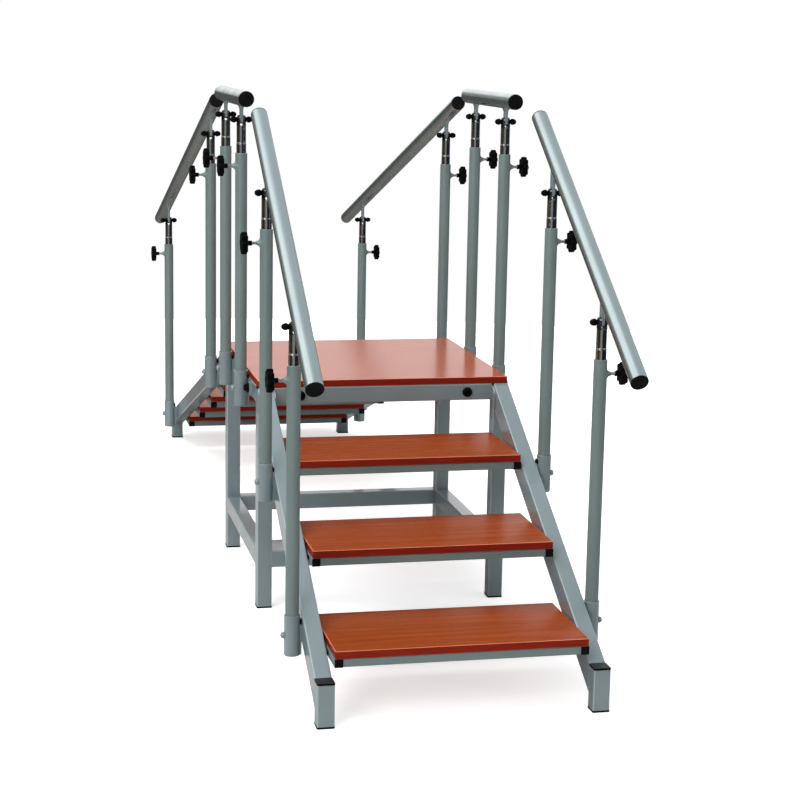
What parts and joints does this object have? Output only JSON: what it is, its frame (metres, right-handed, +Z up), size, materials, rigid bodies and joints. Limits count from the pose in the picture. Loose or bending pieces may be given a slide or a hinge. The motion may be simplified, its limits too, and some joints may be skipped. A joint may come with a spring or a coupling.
{
  "type": "rehabilitation stairs",
  "caption": "Free-standing gait-training stairs: a raised platform with a steep and a shallow flight of wooden treads, and height-adjustable tubular handrails.",
  "frame": {"origin": "on the floor, below the middle of the overall length and width", "axes": "+Z up; -Y towards the foot of the steep front flight, +Y towards the foot of the shallow rear flight; +X to the right of someone who climbs the front flight"},
  "size_m": [0.849, 3.4526, 1.3668],
  "materials": {
    "grey_enamel": "silver-grey enamel, satin, slightly metallic",
    "red_wood_laminate": "red-brown wood laminate, satin, with a plain edge band",
    "bright_chrome": "bright chrome plate",
    "black_plastic": "black moulded plastic, semi-matte"
  },
  "bodies": {
    "frame": {"platform_frame": "grey_enamel", "platform_board": "red_wood_laminate", "front_flight_frame": "grey_enamel", "rear_flight_frame": "grey_enamel", "front_tread_board_1": "red_wood_laminate", "front_tread_board_2": "red_wood_laminate", "front_tread_board_3": "red_wood_laminate", "rear_tread_board_1": "red_wood_laminate", "rear_tread_board_2": "red_wood_laminate", "rear_tread_board_3": "red_wood_laminate", "rear_tread_board_4": "red_wood_laminate", "rear_tread_board_5": "red_wood_laminate", "front_coupling_bolt_left": "black_plastic", "front_coupling_bolt_right": "black_plastic", "rear_coupling_bolt_left": "black_plastic", "rear_coupling_bolt_right": "black_plastic", "front_lower_post_left": "grey_enamel", "front_lower_post_right": "grey_enamel", "front_upper_post_left": "grey_enamel", "front_upper_post_right": "grey_enamel", "platform_front_post_left": "grey_enamel", "platform_front_post_right": "grey_enamel", "platform_rear_post_left": "grey_enamel", "platform_rear_post_right": "grey_enamel", "rear_lower_post_left": "grey_enamel", "rear_lower_post_right": "grey_enamel", "rear_upper_post_left": "grey_enamel", "rear_upper_post_right": "grey_enamel"},
    "front_left_handrail": {"front_rail_left": "grey_enamel", "front_lower_slide_left": "bright_chrome", "front_upper_slide_left": "bright_chrome"},
    "front_right_handrail": {"front_rail_right": "grey_enamel", "front_lower_slide_right": "bright_chrome", "front_upper_slide_right": "bright_chrome"},
    "platform_left_handrail": {"platform_rail_left": "grey_enamel", "platform_front_slide_left": "bright_chrome", "platform_rear_slide_left": "bright_chrome"},
    "platform_right_handrail": {"platform_rail_right": "grey_enamel", "platform_front_slide_right": "bright_chrome", "platform_rear_slide_right": "bright_chrome"},
    "rear_left_handrail": {"rear_rail_left": "grey_enamel", "rear_lower_slide_left": "bright_chrome", "rear_upper_slide_left": "bright_chrome"},
    "rear_right_handrail": {"rear_rail_right": "grey_enamel", "rear_lower_slide_right": "bright_chrome", "rear_upper_slide_right": "bright_chrome"},
    "front_lower_left_clamp": {"front_lower_knob_left": "black_plastic"},
    "front_lower_right_clamp": {"front_lower_knob_right": "black_plastic"},
    "front_upper_left_clamp": {"front_upper_knob_left": "black_plastic"},
    "front_upper_right_clamp": {"front_upper_knob_right": "black_plastic"},
    "platform_front_left_clamp": {"platform_front_knob_left": "black_plastic"},
    "platform_front_right_clamp": {"platform_front_knob_right": "black_plastic"},
    "platform_rear_left_clamp": {"platform_rear_knob_left": "black_plastic"},
    "platform_rear_right_clamp": {"platform_rear_knob_right": "black_plastic"},
    "rear_lower_left_clamp": {"rear_lower_knob_left": "black_plastic"},
    "rear_lower_right_clamp": {"rear_lower_knob_right": "black_plastic"},
    "rear_upper_left_clamp": {"rear_upper_knob_left": "black_plastic"},
    "rear_upper_right_clamp": {"rear_upper_knob_right": "black_plastic"}
  },
  "joints": [
    {"name": "front_left_rail_height", "type": "slide", "parent": "frame", "child": "front_left_handrail", "axis": [0, 0, 1], "range_m": [-0.07, 0.2]},
    {"name": "front_right_rail_height", "type": "slide", "parent": "frame", "child": "front_right_handrail", "axis": [0, 0, 1], "range_m": [-0.07, 0.2]},
    {"name": "platform_left_rail_height", "type": "slide", "parent": "frame", "child": "platform_left_handrail", "axis": [0, 0, 1], "range_m": [-0.07, 0.2]},
    {"name": "platform_right_rail_height", "type": "slide", "parent": "frame", "child": "platform_right_handrail", "axis": [0, 0, 1], "range_m": [-0.07, 0.2]},
    {"name": "rear_left_rail_height", "type": "slide", "parent": "frame", "child": "rear_left_handrail", "axis": [0, 0, 1], "range_m": [-0.07, 0.2]},
    {"name": "rear_right_rail_height", "type": "slide", "parent": "frame", "child": "rear_right_handrail", "axis": [0, 0, 1], "range_m": [-0.07, 0.2]},
    {"name": "front_lower_left_clamp_turn", "type": "hinge", "parent": "frame", "child": "front_lower_left_clamp", "pos_m": [-0.3615, -1.44128, 0.748], "axis": [-1, 0, 0], "range_deg": [0, 720]},
    {"name": "front_lower_right_clamp_turn", "type": "hinge", "parent": "frame", "child": "front_lower_right_clamp", "pos_m": [0.3615, -1.44128, 0.748], "axis": [1, 0, 0], "range_deg": [0, 720]},
    {"name": "front_upper_left_clamp_turn", "type": "hinge", "parent": "frame", "child": "front_upper_left_clamp", "pos_m": [-0.3615, -1.01528, 1.012], "axis": [-1, 0, 0], "range_deg": [0, 720]},
    {"name": "front_upper_right_clamp_turn", "type": "hinge", "parent": "frame", "child": "front_upper_right_clamp", "pos_m": [0.3615, -1.01528, 1.012], "axis": [1, 0, 0], "range_deg": [0, 720]},
    {"name": "platform_front_left_clamp_turn", "type": "hinge", "parent": "frame", "child": "platform_front_left_clamp", "pos_m": [-0.3615, -0.55828, 1.168], "axis": [-1, 0, 0], "range_deg": [0, 720]},
    {"name": "platform_front_right_clamp_turn", "type": "hinge", "parent": "frame", "child": "platform_front_right_clamp", "pos_m": [0.3615, -0.55828, 1.168], "axis": [1, 0, 0], "range_deg": [0, 720]},
    {"name": "platform_rear_left_clamp_turn", "type": "hinge", "parent": "frame", "child": "platform_rear_left_clamp", "pos_m": [-0.3615, -0.23828, 1.168], "axis": [-1, 0, 0], "range_deg": [0, 720]},
    {"name": "platform_rear_right_clamp_turn", "type": "hinge", "parent": "frame", "child": "platform_rear_right_clamp", "pos_m": [0.3615, -0.23828, 1.168], "axis": [1, 0, 0], "range_deg": [0, 720]},
    {"name": "rear_lower_left_clamp_turn", "type": "hinge", "parent": "frame", "child": "rear_lower_left_clamp", "pos_m": [-0.3615, 1.39372, 0.716], "axis": [-1, 0, 0], "range_deg": [0, 720]},
    {"name": "rear_lower_right_clamp_turn", "type": "hinge", "parent": "frame", "child": "rear_lower_right_clamp", "pos_m": [0.3615, 1.39372, 0.716], "axis": [1, 0, 0], "range_deg": [0, 720]},
    {"name": "rear_upper_left_clamp_turn", "type": "hinge", "parent": "frame", "child": "rear_upper_left_clamp", "pos_m": [-0.3615, 0.11472, 1.096], "axis": [-1, 0, 0], "range_deg": [0, 720]},
    {"name": "rear_upper_right_clamp_turn", "type": "hinge", "parent": "frame", "child": "rear_upper_right_clamp", "pos_m": [0.3615, 0.11472, 1.096], "axis": [1, 0, 0], "range_deg": [0, 720]}
  ]
}
